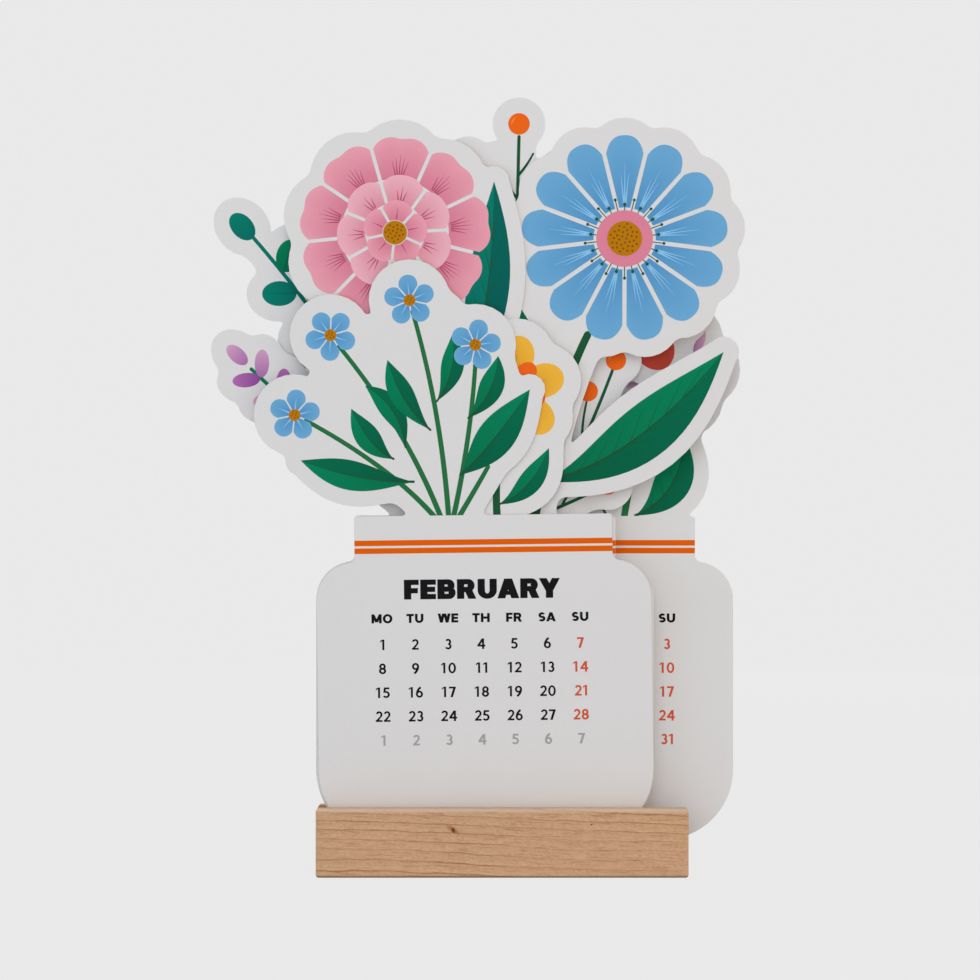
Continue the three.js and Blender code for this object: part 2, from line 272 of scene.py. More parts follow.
def make_paper():
    shader = Shader("card_stock", roughness=0.86, specular=0.25)
    tooth = paper_tooth(shader, CUT_EDGE_ROUNDING)
    cloud = shader.noise(shader.place(), scale=28, detail=4, roughness=0.55)
    card = shader.stained(linear(CARD_WHITE), cloud, greys((0.0, 0.15), (1.0, 0.85)), linear(CARD_CLOUD))
    return shader.painted(shader.stained(card, tooth, greys((0.30, 0.5), (0.42, 0.0)), linear(CARD_HOLLOW)))


def make_ink(name, root, tip=None):
    """Ink soaked into card: root to tip by the shape's tone, with a faint unevenness."""
    shader = Shader("ink_" + name, roughness=0.80, specular=0.05)
    tooth = paper_tooth(shader)
    tone = shader.node("ShaderNodeAttribute", {}, attribute_name="tone").outputs["Fac"]
    ink = shader.mix(tone, linear(root, INK_LIFT), linear(tip or root, INK_LIFT))
    cloud = shader.noise(shader.place(), scale=160, detail=5, roughness=0.65)
    ink = shader.tinted(ink, cloud, greys((0.0, 0.62), (1.0, 1.35)), strength=0.10)
    return shader.painted(shader.stained(ink, tooth, greys((0.66, 0.0), (0.82, 0.07)), linear(CARD_PEAK)))


# The beech's colours, 0 to 255, and the colours of its painted highlight and painted shade
BEECH = {
    "pale": (214, 173, 139),
    "warm": (207, 164, 129),
    "line": (168, 112, 70),
    "fleck": (168, 112, 72),
    "painted_highlight": (232, 212, 192),
    "painted_underside_shade": (88, 60, 42),
    "painted_slot_shade": (166, 106, 66),
}

# The rings run about a pith below the bar: the scale, the shift in metres and the turn that
# put it there, and the colours from one ring's line to the next
PITH = ((0.10, 1, 1), (0, 0.021, 0.060), (0, -0.30, 0))
RINGS = {"Scale": 96, "Distortion": 0.5, "Detail": 3, "Detail Scale": 1.6}
RING_COLOURS = ((0.0, "pale"), (0.60, "warm"), (0.80, "warm"), (0.93, "line"), (1.0, "pale"))

# Noises along the grain: their stretch along it, their descent to the right in radians, and
# their scale, detail and roughness. The first two push the rings aside, by this many metres.
RING_BEND = (4.0, 0.0, 34, 3)
RING_BEND_PUSH = 0.007
RING_WAVER = (3.0, 0.0, 420, 2)
RING_WAVER_PUSH = 0.0010
RING_BREAKS = (3.5, 0.0, 75, 3)
HUE = (3.0, 0.0, 60, 3)
RIPPLE = (4.2, 0.16, 3100, 2, 0.6)
STREAKS = (22, 0.035, 2200, 2, 0.6)
FLECKS = (7, 0.12, 2900, 1)

# What the hue, the ripple and the streaks multiply the wood's colour by
HUE_TINTS = ((0.30, (0.95, 0.955, 0.88, 1)), (0.70, (1.05, 1.01, 0.99, 1)))
RIPPLE_TINTS = (
    (0.34, (0.89, 0.84, 0.79, 1)),
    (0.48, (1.0, 0.99, 0.97, 1)),
    (0.64, (1.08, 1.09, 1.10, 1)),
)
STREAK_TINTS = (
    (0.33, (0.80, 0.72, 0.65, 1)),
    (0.43, (1.0, 1.0, 0.99, 1)),
    (0.66, (1.06, 1.07, 1.07, 1)),
)

# The bar's outer upper edges get a painted highlight, paler, its lower edge painted shade, darker,
# and its slot painted shade, browner: where each fades in and is full, in metres, and its strength
PAINTED_HIGHLIGHT_HEIGHT = (0.0225, 0.0238, 0.50)
PAINTED_HIGHLIGHT_DEPTH = (0.0080, 0.0120, 1.0)
PAINTED_UNDERSIDE_SHADE_HEIGHT = (0.0009, 0.0003, 0.80)
PAINTED_SLOT_SHADE_DEPTH = (0.0062, 0.0054, 0.70)
PAINTED_SLOT_SHADE_HEIGHT = (0.0108, 0.0114, 1.0)

# Pin knots on the bar's front, in millimetres: middle, half length and half height, and then
# tilt, strength and colour. They fade out from this share of their size, and at this depth.
KNOTS = (
    ((-17.3, -14.95, 16.95), (3.3, 1.2), 0.60, 0.62, (158, 88, 40)),
    ((-17.1, -14.95, 16.75), (1.20, 0.78), 1.15, 0.92, (94, 38, 0)),
    ((31.3, -14.95, 18.7), (0.45, 0.40), 0.0, 0.85, (94, 38, 0)),
)
KNOT_CORE = 0.45
KNOT_DEPTH = 4


def add_knot(shader, under, centre, size, tilt, strength, colour):
    """A dark oval with a soft rim, drawn out along the grain."""
    middle = [value * MM for value in centre]
    reach = (size[0] * MM, KNOT_DEPTH * MM, size[1] * MM)
    where = shader.place(reach, middle, (0, tilt, 0), "TEXTURE")
    distance = shader.node("ShaderNodeVectorMath", {0: where}, operation="LENGTH").outputs["Value"]
    return shader.stained(under, distance, greys((KNOT_CORE, strength), (1.0, 0.0)), linear(colour))


def make_beech():
    """Steamed beech: rings, ripple, streaks, fine flecks and pin knots, with a painted highlight on the
    upper edges and painted shade on the lower edge and in the slot.
    """
    shader = Shader("beech", roughness=0.60, specular=0.14)
    tone = {name: linear(colour) for name, colour in BEECH.items()}
    where = shader.place(*PITH)
    where = shader.pushed(where, shader.grain(*RING_BEND, output="Color"), RING_BEND_PUSH)
    where = shader.pushed(where, shader.grain(*RING_WAVER, output="Color"), RING_WAVER_PUSH)
    rings = shader.node("ShaderNodeTexWave", {"Vector": where, **RINGS},
                        wave_type="RINGS", rings_direction="X", wave_profile="SAW")
    wood = shader.ramp(rings.outputs["Color"], [(share, tone[name]) for share, name in RING_COLOURS])
    breaks = greys((0.38, 0.0), (0.62, 0.75))
    wood = shader.stained(wood, shader.grain(*RING_BREAKS), breaks, tone["warm"])
    wood = shader.tinted(wood, shader.grain(*HUE), HUE_TINTS, strength=0.75)
    ripple = shader.grain(*RIPPLE)
    wood = shader.tinted(wood, ripple, RIPPLE_TINTS)
    wood = shader.tinted(wood, shader.grain(*STREAKS), STREAK_TINTS)
    wood = shader.stained(wood, shader.grain(*FLECKS), greys((0.64, 0.0), (0.78, 0.38)), tone["fleck"])
    for knot in KNOTS:
        wood = add_knot(shader, wood, *knot)
    # Painted highlight: the upper outer edges made paler
    painted_highlight = shader.both(shader.fade("Z", *PAINTED_HIGHLIGHT_HEIGHT), shader.fade("Y", *PAINTED_HIGHLIGHT_DEPTH))
    wood = shader.mix(painted_highlight, wood, tone["painted_highlight"])
    # Painted shade: the lower edge made darker
    wood = shader.mix(shader.fade("Z", *PAINTED_UNDERSIDE_SHADE_HEIGHT), wood, tone["painted_underside_shade"])
    # Painted shade: the slot's inside made darker and browner
    painted_slot_shade = shader.both(shader.fade("Z", *PAINTED_SLOT_SHADE_HEIGHT), shader.fade("Y", *PAINTED_SLOT_SHADE_DEPTH))
    shader.bump(ripple, depth=0.00005, strength=0.5)
    return shader.painted(shader.mix(painted_slot_shade, wood, tone["painted_slot_shade"]))


CARD_STOCK = make_paper()
BAR_WOOD = make_beech()
INK = {name: make_ink(name, *ends) for name, ends in INKS.items()}
INK_ORDER = list(INK)


def shares(steps):
    """Even steps from nought to one."""
    return [step / steps for step in range(steps + 1)]


def along_curve(start, bend, end, share):
    """Point and unit heading on the curve from start to end, drawn towards bend."""
    start, bend, end = Vector(start), Vector(bend), Vector(end)
    point = start.lerp(bend, share).lerp(bend.lerp(end, share), share)
    heading = (bend - start).lerp(end - bend, share).normalized()
    return point, heading


def beside(point, heading, distance):
    """The point that lies distance to the left of a heading."""
    return point + Vector((-heading.y, heading.x)) * distance


def polar(centre, radius, angle):
    return Vector(centre) + Vector((math.cos(angle), math.sin(angle))) * radius


def above_mouth(outline):
    """The part of an outline above the vase's mouth, where the picture ends."""
    kept = []
    for first, second in zip(outline, outline[1:] + outline[:1]):
        if first.y >= 0:
            kept.append(first)
        if (first.y >= 0) != (second.y >= 0):
            kept.append(first.lerp(second, first.y / (first.y - second.y)))
    return kept


def box(x0, y0, x1, y1):
    return [(x0, y0), (x1, y0), (x1, y1), (x0, y1)]


def slant(low_x, high_x, low_y, high_y, width):
    """A slanting stroke with level ends, from its left edge at either end."""
    return [(low_x, low_y), (low_x + width, low_y), (high_x + width, high_y), (high_x, high_y)]


# Round letters overshoot the line a little: half the height of a whole round, and what a
# bowl of half the height adds
ROUND_HALF = 0.515
BOWL_OVERSHOOT = 0.01


class Lettering:
    """Plain block capitals and numerals of one weight. Capitals are one unit high."""

    def __init__(self, weight):
        self.stem, self.bar = weight
        self.glyphs = {**self.capitals(), **self.numerals()}

    def arc(self, x, y, radius_x, radius_y, first, last):
        """A bowl's stroke between two angles in degrees, thick at its sides and thin above."""
        steps = 4 + abs(last - first) // 15
        outer, inner = [], []
        for step in range(steps + 1):
            angle = math.radians(first + (last - first) * step / steps)
            across, up = math.cos(angle), math.sin(angle)
            outer.append((x + radius_x * across, y + radius_y * up))
            inner.append((x + (radius_x - self.stem) * across, y + (radius_y - self.bar) * up))
        return outer + inner[::-1]

    def oval(self, x, y, radius_x, radius_y):
        """A closed bowl, in two halves."""
        return [self.arc(x, y, radius_x, radius_y, first, first + 180) for first in (0, 180)]

    def capitals(self):
        """Each letter's width and strokes. No two strokes of a letter are on one layer."""
        stem, bar = self.stem, self.bar
        size = 0.84 + 0.56 * stem
        leg = 1.08 * stem
        bowl = 0.25 + bar / 4
        p_bowl = 1.15 * bowl
        r_bowl = 1.04 * bowl
        middle = 0.5 - bar / 2
        e, f, b, r, u = 0.76 * size, 0.72 * size, 0.88 * size, 0.93 * size, 0.93 * size
        a, n, m, c, o, w = 1.06 * size, 0.98 * size, 1.12 * size, 0.92 * size, 1.06 * size, 1.42 * size
        s, t, p, d, y, j = 0.78 * size, 0.82 * size, 0.86 * size, 0.98 * size, 1.02 * size, 0.60 * size
        post = box(0, 0, stem, 1)

        def lobe(right, centre_y, radius_y):
            """A half round bowl on the right of a post."""
            return self.arc(right - radius_y, centre_y, radius_y, radius_y, -90, 90)

        def rungs(right, *heights):
            return [box(stem / 2, height, right, height + bar) for height in heights]

        def half_v(width, x=0.0):
            middle_x = x + width / 2 - leg / 2
            return [slant(middle_x, x, 0, 1, leg), slant(middle_x, x + width - leg, 0, 1, leg)]

        return {
            "A": (a, [slant(0, a / 2 - leg / 2, 0, 1, leg), slant(a - leg, a / 2 - leg / 2, 0, 1, leg),
                      box(0.24 * a, 0.17, 0.76 * a, 0.17 + 0.8 * bar)]),
            "B": (b, [post, lobe(0.95 * b, 1 - bowl, bowl), lobe(b, bowl, bowl),
                      *rungs(0.95 * b - bowl, 1 - bar), *rungs(b - bowl, 0),
                      *rungs(0.95 * b - bowl, middle)]),
            "C": (c, [self.arc(o / 2, 0.5, o / 2, ROUND_HALF, 46, 314)]),
            "D": (d, [post, self.arc(d - 0.56, 0.5, 0.56, 0.5, -90, 90), *rungs(d - 0.56, 0, 1 - bar)]),
            "E": (e, [post, *rungs(e, 0), *rungs(0.95 * e, middle), *rungs(e, 1 - bar)]),
            "F": (f, [post, *rungs(0.94 * f, 0.44 - bar / 2), *rungs(f, 1 - bar)]),
            "G": (c, [self.arc(o / 2, 0.5, o / 2, ROUND_HALF, 46, 330),
                      box(c - 0.9 * stem, 0.1, c + 0.02, 0.5), box(0.52 * c, 0.5 - bar, c + 0.02, 0.5)]),
            "H": (n, [post, box(n - stem, 0, n, 1), *rungs(n - stem / 2, middle)]),
            "I": (stem, [post]),
            "J": (j, [box(j - stem, 0.3, j, 1),
                      self.arc(j - 0.32 * size, 0.3, 0.32 * size, 0.315, -130, 0)]),
            "L": (f, [post, *rungs(f, 0)]),
            "M": (m, [post, box(m - stem, 0, m, 1), slant(m / 2 - leg / 2, 0, 0.12, 1, leg),
                      slant(m / 2 - leg / 2, m - leg, 0.12, 1, leg)]),
            "N": (n, [post, box(n - stem, 0, n, 1), slant(n - leg, 0, 0, 1, leg)]),
            "O": (o, self.oval(o / 2, 0.5, o / 2, ROUND_HALF)),
            "P": (p, [post, lobe(p, 1 - p_bowl, p_bowl), *rungs(p - p_bowl, 1 - bar, 1 - 2.3 * bowl)]),
            "R": (r, [post, lobe(0.92 * r, 1 - r_bowl, r_bowl),
                      *rungs(0.92 * r - bowl, 1 - bar, 1 - 2.08 * bowl),
                      slant(r - leg, 0.36 * r, 0, 0.5, leg)]),
            "S": (s, [self.arc(s / 2, 1 - bowl, 0.48 * s, bowl + BOWL_OVERSHOOT, 28, 270),
                      self.arc(s / 2, bowl, s / 2, bowl + BOWL_OVERSHOOT, 90, -152)]),
            "T": (t, [box(0, 1 - bar, t, 1), box(t / 2 - stem / 2, 0, t / 2 + stem / 2, 1)]),
            "U": (u, [box(0, 0.42, stem, 1), box(u - stem, 0.42, u, 1),
                      self.arc(u / 2, 0.42, u / 2, 0.43, 180, 360)]),
            "V": (a, half_v(a)),
            "W": (w, half_v(0.56 * w) + half_v(0.56 * w, 0.44 * w)),
            "Y": (y, [slant(y / 2 - leg / 2, 0, 0.38, 1, leg),
                      slant(y / 2 - leg / 2, y - leg, 0.38, 1, leg),
                      box(y / 2 - stem / 2, 0, y / 2 + stem / 2, 0.44)]),
        }

    def numerals(self):
        """Each numeral's width and strokes."""
        stem, bar = self.stem, self.bar
        wide = 0.68
        half = wide / 2
        bowl = 0.25 + bar / 4
        tall = bowl + BOWL_OVERSHOOT
        tail = []
        for side in (1, -1):
            edge = [along_curve((stem / 2, 0.36), (stem / 2 + 0.04, 0.74), (0.47, 0.98), share)
                    for share in shares(8)]
            tail += [tuple(beside(point, heading, side * stem / 2)) for point, heading in edge[::side]]
        six = self.oval(half, 0.32, half, 0.335) + [tail]
        turned = [[(wide - x, 1 - y) for x, y in stroke] for stroke in six]
        return {
            "0": (0.73, self.oval(0.365, 0.5, 0.365, ROUND_HALF)),
            "1": (0.2 + stem, [box(0.2, 0, 0.2 + stem, 1), [(0, 0.73), (0.2, 0.85), (0.2, 1), (0, 0.87)]]),
            "2": (0.64, [self.arc(0.32, 0.7, 0.32, 0.315, 165, -38), box(0, 0, 0.64, bar),
                         [(0, 0.6 * bar), (1.25 * stem, 0.6 * bar), (0.572, 0.506), (0.45, 0.60)]]),
            "3": (0.63, [self.arc(0.30, 1 - bowl, 0.29, tall, 150, -90),
                         self.arc(0.30, bowl, 0.32, tall, 90, -155)]),
            "4": (0.75, [slant(0, 0.42, 0.235 + 0.8 * bar, 1, 1.2 * stem), box(0, 0.235, 0.75, 0.235 + bar),
                         box(0.44, 0, 0.44 + stem, 1)]),
            "5": (0.64, [self.arc(0.29, 0.32, 0.35, 0.335, 118, -150), box(0.1, 1 - bar, 0.60, 1),
                         slant(0.03, 0.09, 0.5, 1, stem)]),
            "6": (wide, six),
            "7": (0.65, [box(0, 1 - bar, 0.65, 1),
                         slant(0.13, 0.65 - 1.15 * stem, 0, 1 - bar / 2, 1.15 * stem)]),
            "8": (wide, self.oval(half, 1 - bowl, half - 0.03, tall) + self.oval(half, bowl, half, tall)),
            "9": (wide, turned),
        }

    def set_word(self, text, gap):
        """A word's strokes, each as (its number in its letter, points), about the word's middle."""
        strokes = []
        x = 0.0
        for place, letter in enumerate(text):
            width, parts = self.glyphs[letter]
            if place:
                x += gap - KERNING.get(text[place - 1] + letter, 0) * (0.7 + 0.8 * self.stem)
                x += AFTER_ONE if text[place - 1] == "1" else 0
            strokes += [(number, [(x + px, py) for px, py in part]) for number, part in enumerate(parts)]
            x += width
        return [(number, [(px - x / 2, py - 0.5) for px, py in part]) for number, part in strokes]


# How much closer some pairs of capitals stand, at a stem of 0.375 of their height
KERNING = {
    "RY": 0.10, "AR": 0.02, "UA": 0.05, "AY": 0.26, "MA": 0.05, "JA": 0.05, "AN": 0.02, "OV": 0.12,
    "VE": 0.03, "TO": 0.06, "CT": 0.03, "LY": 0.2, "FR": 0.02, "WE": 0.05, "SA": 0.05, "RC": 0.03,
    "AU": 0.02, "PT": 0.06, "ST": 0.03,
}

HEAVY_TYPE = Lettering(HEAVY)
BOLD_TYPE = Lettering(BOLD)
PLAIN_TYPE = Lettering(PLAIN)


# The tone of a shape that isn't graded, halfway between its ink's two colours
MIDDLE_TONE = 0.5


def page_patch(outline, ink):
    """A shape of one tone with any outline, as its corners with their tones, its faces and ink."""
    flat = [Vector((point[0], point[1], 0)) for point in outline]
    faces = geometry.tessellate_polygon([flat]) if len(flat) > 2 else []
    return [(point, MIDDLE_TONE) for point in outline], [tuple(face) for face in faces], ink


def flat_patch(outline, ink):
    """The same, cut off at the vase's mouth."""
    return page_patch(above_mouth([Vector(point) for point in outline]), ink)


def graded_patch(rows, ink):
    """A shape of many cells, so that its tone runs from root to tip: rows of (point, tone)."""
    across = len(rows[0])
    faces = []
    for row in range(len(rows) - 1):
        for column in range(across - 1):
            first = row * across + column
            faces.append((first, first + 1, first + 1 + across, first + across))
    return [corner for row in rows for corner in row], faces, ink


def tapering(half_width, root=1.0, loss=1.0, least=0.0):
    """Half a line's width along it: a share of half_width that falls by loss, and least more."""
    return lambda share: half_width * (root - loss * share) + least


def ribbon_patch(start, bend, end, half_width, ink, steps, round_end=False):
    """A line of changing width along a curve."""
    left, right = [], []
    for share in shares(steps):
        point, heading = along_curve(start, bend, end, share)
        left.append(beside(point, heading, half_width(share)))
        right.append(beside(point, heading, -half_width(share)))
    tip = []
    if round_end:
        point, heading = along_curve(start, bend, end, 1.0)
        first = math.atan2(heading.y, heading.x) - math.pi / 2
        tip = [polar(point, half_width(1.0), first + math.pi * step / 6) for step in range(1, 6)]
    return flat_patch(right + tip + left[::-1], ink)


def oval_edge(x, y, radius_x, radius_y, turn, angle, share=1.0):
    """A point of an oval whose long axis is turned, share of the way out from its middle."""
    axis = Vector((math.cos(turn), math.sin(turn)))
    side = Vector((-axis.y, axis.x))
    return Vector((x, y)) + (axis * radius_x * math.cos(angle) + side * radius_y * math.sin(angle)) * share


def disc_patch(x, y, radius, ink, steps=28):
    angles = [2 * math.pi * step / steps for step in range(steps)]
    return flat_patch([oval_edge(x, y, radius, radius, 0.0, angle) for angle in angles], ink)


def graded_oval(x, y, radius_x, radius_y, turn, ink, steps=24):
    """An oval whose tone runs along its long axis, from its root to its tip."""
    rows = []
    for share in (0.001, 0.4, 0.75, 1.0):
        row = []
        for step in range(steps + 1):
            angle = 2 * math.pi * step / steps
            place = oval_edge(x, y, radius_x, radius_y, turn, angle, share)
            row.append((place, MIDDLE_TONE + 0.5 * share * math.cos(angle)))
        rows.append(row)
    return graded_patch(rows, ink)


# A leaf is widest past its middle, by this power. Its veins leave the midrib from a share of
# its length, over a further share. Each rises by a share of the length, reaches so far towards
# the edge, starts beside the rib and bows forward, in millimetres.
LEAF_STEPS = 22
LEAF_POWER = 1.25
VEINS_FROM = 0.2
VEINS_OVER = 0.58
VEIN_RISE = 0.14
VEIN_REACH = 0.78
VEIN_OFFSET = 0.35
VEIN_BOW = 0.6

# A berry's crescent: where it starts and how far it runs, in radians, and its outer radius and
# width as shares of the berry's radius
SHINE_STEPS = 8
SHINE_FROM = 1.9
SHINE_OVER = 1.4
SHINE_RADIUS = 0.72
SHINE_WIDTH = 0.13

# A petal's cells across and along it, its notch and its spread of lines as shares of its half
# width, and how far along it the middle line reaches and how much less the outer ones
PETAL_COLUMNS = 16
PETAL_RANKS = 5
NOTCH_WIDTH = 0.28
LINES_SPREAD = 0.9
LINE_REACH = 0.62
LINE_LOSS = 0.22

TWIG_WIDTH = 0.9
DOT_STEPS = 8
SHORT_STAMEN = 0.86
STAMEN_HEAD = 0.55


def leaf_swell(share):
    """A leaf's width at a share of its length, as a share of its full width."""
    return math.sin(math.pi * share ** LEAF_POWER)


class CardPrint:
    """What is printed on one card, in the card's plane: x across from the mouth's middle, y up."""

    def __init__(self, month, shift, lean):
        self.name = month + "_print"
        self.body = month
        node_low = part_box(month + "_card")[0]
        base_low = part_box("base")[0]
        self.lean = math.radians(lean)
        foot_half = VASE_WIDTH / 2 - FOOT_RADIUS
        foot_drop = NECK_HEIGHT + VASE_HEIGHT - FOOT_RADIUS
        mouth_rise = foot_half * abs(math.sin(self.lean)) + foot_drop * math.cos(self.lean) + FOOT_RADIUS
        self.mouth_x = base_low[0] / MM + VASE_WIDTH / 2 + shift
        self.mouth_z = node_low[2] / MM + mouth_rise
        self.front_y = node_low[1] / MM
        self.points = []
        self.tones = []
        self.faces = []
        self.inks = []
        self.layers = {}

    def vertex(self, point, layer, tone):
        cosine, sine = math.cos(self.lean), math.sin(self.lean)
        self.points.append((
            (self.mouth_x + point[0] * cosine - point[1] * sine) * MM,
            (self.front_y - INK_CLEARANCE - layer * INK_STEP) * MM,
            (self.mouth_z + point[0] * sine + point[1] * cosine) * MM,
        ))
        self.tones.append(tone)
        return len(self.points) - 1

    def face(self, corners, ink):
        """Adds a face, turned to the front."""
        a, b, c = (Vector(self.points[index]) for index in corners[:3])
        if (b - a).cross(c - a).y > 0:
            corners = tuple(reversed(corners))
        self.faces.append(tuple(corners))
        self.inks.append(INK_ORDER.index(ink))

    def cells_under(self, patch):
        """The cells of a grid over the card that a patch touches."""
        corners, faces, _ = patch
        cells = set()
        for face in faces:
            xs = [corners[index][0][0] / CELL for index in face]
            ys = [corners[index][0][1] / CELL for index in face]
            columns = range(math.floor(min(xs)), math.floor(max(xs)) + 1)
            rows = range(math.floor(min(ys)), math.floor(max(ys)) + 1)
            cells.update((column, row) for column in columns for row in rows)
        return cells

    def lay(self, patches):
        """Prints patches that don't overlap each other over all that they cover."""
        cells = set()
        for patch in patches:
            cells |= self.cells_under(patch)
        layer = max([self.layers.get(cell, -1) for cell in cells], default=-1) + 1
        for cell in cells:
            self.layers[cell] = layer
        for corners, faces, ink in patches:
            indices = [self.vertex(point, layer, tone) for point, tone in corners]
            for face in faces:
                self.face([indices[index] for index in face], ink)

    def stem(self, start, bend, end, width=1.7, ink="stem"):
        half_width = tapering(width / 2, 1.12, 0.24)
        self.lay([ribbon_patch(start, bend, end, half_width, ink, 20, round_end=True)])

    def twig(self, start, bend, end):
        half_width = tapering(TWIG_WIDTH / 2, 1.1, 0.35)
        self.lay([ribbon_patch(start, bend, end, half_width, "dark", 8, round_end=True)])

    def leaf(self, start, bend, end, width, inks=("leaf", "deep"), veins=0):
        """A pointed leaf in two greens, split at its midrib, with this many veins a side."""
        halves = []
        for side, ink in zip((1, -1), inks):
            rows = []
            for share in shares(LEAF_STEPS):
                point, heading = along_curve(start, bend, end, share)
                edge = side * (width / 2 * leaf_swell(share))
                rows.append([(beside(point, heading, edge * part), share) for part in (0, 0.5, 1)])
            halves.append(graded_patch(rows, ink))
        self.lay(halves)
        rib_width = tapering(0.028 * width + 0.12, least=0.02)
        lines = [ribbon_patch(start, bend, end, rib_width, "dark", 14)]
        vein_width = tapering(0.13, loss=0.7)
        for vein in range(veins):
            share = VEINS_FROM + VEINS_OVER * vein / max(veins - 1, 1)
            point, heading = along_curve(start, bend, end, share)
            ahead, ahead_heading = along_curve(start, bend, end, share + VEIN_RISE)
            reach = width / 2 * leaf_swell(share + VEIN_RISE) * VEIN_REACH
            for side in (1, -1):
                tip = beside(ahead, ahead_heading, side * reach)
                root = beside(point, heading, side * VEIN_OFFSET)
                middle = root.lerp(tip, 0.5) + heading * VEIN_BOW
                lines.append(ribbon_patch(root, middle, tip, vein_width, "dark", 6))
        self.lay(lines)

    def berry(self, x, y, radius=3.6):
        """A round berry with a bright crescent on its left."""
        self.lay([disc_patch(x, y, radius, "orange")])
        outer, inner = [], []
        for share in shares(SHINE_STEPS):
            angle = SHINE_FROM + SHINE_OVER * share
            depth = SHINE_WIDTH * math.sin(math.pi * share)
            outer.append(polar((x, y), radius * SHINE_RADIUS, angle))
            inner.append(polar((x, y), radius * (SHINE_RADIUS - depth), angle))
        self.lay([flat_patch(outer + inner[::-1], "amber")])

    def ring(self, x, y, petals, inner, outer, ink, turn=0.0, gap=1.2, drop=0.2, power=3.0, notch=0.0,
             lines=0, line_ink="wine"):
        """Petals that fill a ring between them, each graded from root to tip, with fine lines.
        A petal's edge drops by a share of its radius to the sides, and has a notch in its middle."""
        half = math.pi / petals
        line_width = tapering(0.24, least=0.03)
        patches, drawn = [], []
        for petal in range(petals):
            angle = turn + 2 * half * petal

            def at(side, share):
                dip = notch * math.exp(-(side / NOTCH_WIDTH) ** 2)
                edge = outer * (1 - drop * abs(side) ** power) - dip
                radius = inner + (edge - inner) * share
                return polar((x, y), radius, angle + side * (half - gap / 2 / radius))

            sides = [-1 + 2 * column / PETAL_COLUMNS for column in range(PETAL_COLUMNS + 1)]
            rows = [[(at(side, share), share) for side in sides] for share in shares(PETAL_RANKS)]
            patches.append(graded_patch(rows, ink))
            for line in range(lines):
                side = (line - (lines - 1) / 2) * LINES_SPREAD / lines
                reach = LINE_REACH - LINE_LOSS * abs(side) / (LINES_SPREAD / 2)
                root, middle, tip = at(side * 0.55, 0.06), at(side * 0.8, 0.3), at(side, reach)
                drawn.append(ribbon_patch(root, middle, tip, line_width, line_ink, 7))
        self.lay(patches)
        if drawn:
            self.lay(drawn)

    def seeds(self, x, y, radius, count, size):
        """A flower's eye filled with dots in the spiral that seeds grow in."""
        golden = math.pi * (3 - math.sqrt(5))
        dots = []
        for seed in range(count):
            place = polar((x, y), radius * math.sqrt((seed + 0.5) / count), seed * golden)
            dots.append(disc_patch(place.x, place.y, size, "brown", DOT_STEPS))
        self.lay(dots)

    def eye(self, x, y, radius, ink="mustard"):
        self.lay([disc_patch(x, y, radius, ink)])

    def stamens(self, x, y, count, inner, outer, ink, turn=0.0):
        """Short threads round a flower's eye, each with a small head, and every other one shorter."""
        thread_width = tapering(0.16, loss=0.0)
        threads, heads = [], []
        for stamen in range(count):
            angle = turn + 2 * math.pi * stamen / count
            reach = outer * (1.0 if stamen % 2 else SHORT_STAMEN)
            start, end = polar((x, y), inner, angle), polar((x, y), reach, angle)
            threads.append(ribbon_patch(start, start.lerp(end, 0.5), end, thread_width, ink, 3))
            heads.append(disc_patch(end.x, end.y, STAMEN_HEAD, ink, DOT_STEPS))
        self.lay(threads)
        self.lay(heads)

    def small_bloom(self, x, y, turn):
        """A five-petalled blossom."""
        self.ring(x, y, 5, 1.6, 9.0, "blue", turn, gap=0.5, drop=0.34, power=2.2,
                  lines=1, line_ink="pale_blue")
        self.eye(x, y, 2.1)
        self.seeds(x, y, 1.5, 7, 0.26)

    def word(self, text, x, y, cap, lettering, gap, ink):
        """A word centred on x, its capitals' middle at y."""
        strokes = lettering.set_word(text, gap)
        for number in sorted({number for number, _ in strokes}):
            self.lay([page_patch([(x + px * cap, y + py * cap) for px, py in part], ink)
                      for of_letter, part in strokes if of_letter == number])

    def finish(self):
        """Makes the mesh, which moves with its card."""
        mesh = bpy.data.meshes.new(self.name)
        mesh.from_pydata(self.points, [], self.faces)
        used = sorted(set(self.inks))
        for index in used:
            mesh.materials.append(INK[INK_ORDER[index]])
        mesh.polygons.foreach_set("material_index", [used.index(index) for index in self.inks])
        tones = mesh.attributes.new("tone", "FLOAT", "POINT")
        tones.data.foreach_set("value", self.tones)
        mesh.update()
        made = bpy.data.objects.new(self.name, mesh)
        bpy.context.scene.collection.objects.link(made)
        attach(made, self.body)


# What grows from each month's vase. Places are across from and above the middle of its mouth.


def january(card):
    card.stem((20, -3), (24, 24), (36, 52), 2.2)
    card.leaf((24, 0), (40, 6), (42, 28), 13, veins=4)
    card.leaf((14, 0), (2, 30), (4, 52), 12, ("teal", "pine"), veins=4)
    card.ring(36, 52, 6, 3, 20, "mauve", gap=1.0, drop=0.3, power=2.4, lines=3, line_ink="purple")
    card.eye(36, 52, 4.5)
    card.seeds(36, 52, 3.6, 20, 0.36)


def february(card):
    for stalk in (
        ((-15, -3), (-30, 16), (-62, 34)),
        ((-14, -3), (-26, 30), (-50, 60)),
        ((-12, -3), (-14, 36), (-24, 72)),
        ((-11, -3), (-4, 26), (-2, 54)),
        ((-10, -3), (-2, 10), (2, 17)),
    ):
        card.stem(*stalk)
    for leaf in (
        ((-24, 12), (-44, 12), (-64, 20), 10.5),
        ((-31, 20), (-40, 24), (-46, 38), 8.5),
        ((-27, 24), (-28, 38), (-41, 46), 8),
        ((-18, 30), (-29, 40), (-33, 55), 8.5),
        ((-16, 40), (-8, 50), (-10, 64), 8),
        ((-8, 14), (2, 22), (17, 44), 13),
        ((-5, 34), (5, 42), (6, 56), 8.5),
    ):
        card.leaf(*leaf)
    for x, y, turn in ((-66, 36, 0.2), (-53, 64, 0.9), (-25, 76, 0.4), (-2, 60, 0.1)):
        card.small_bloom(x, y, turn)


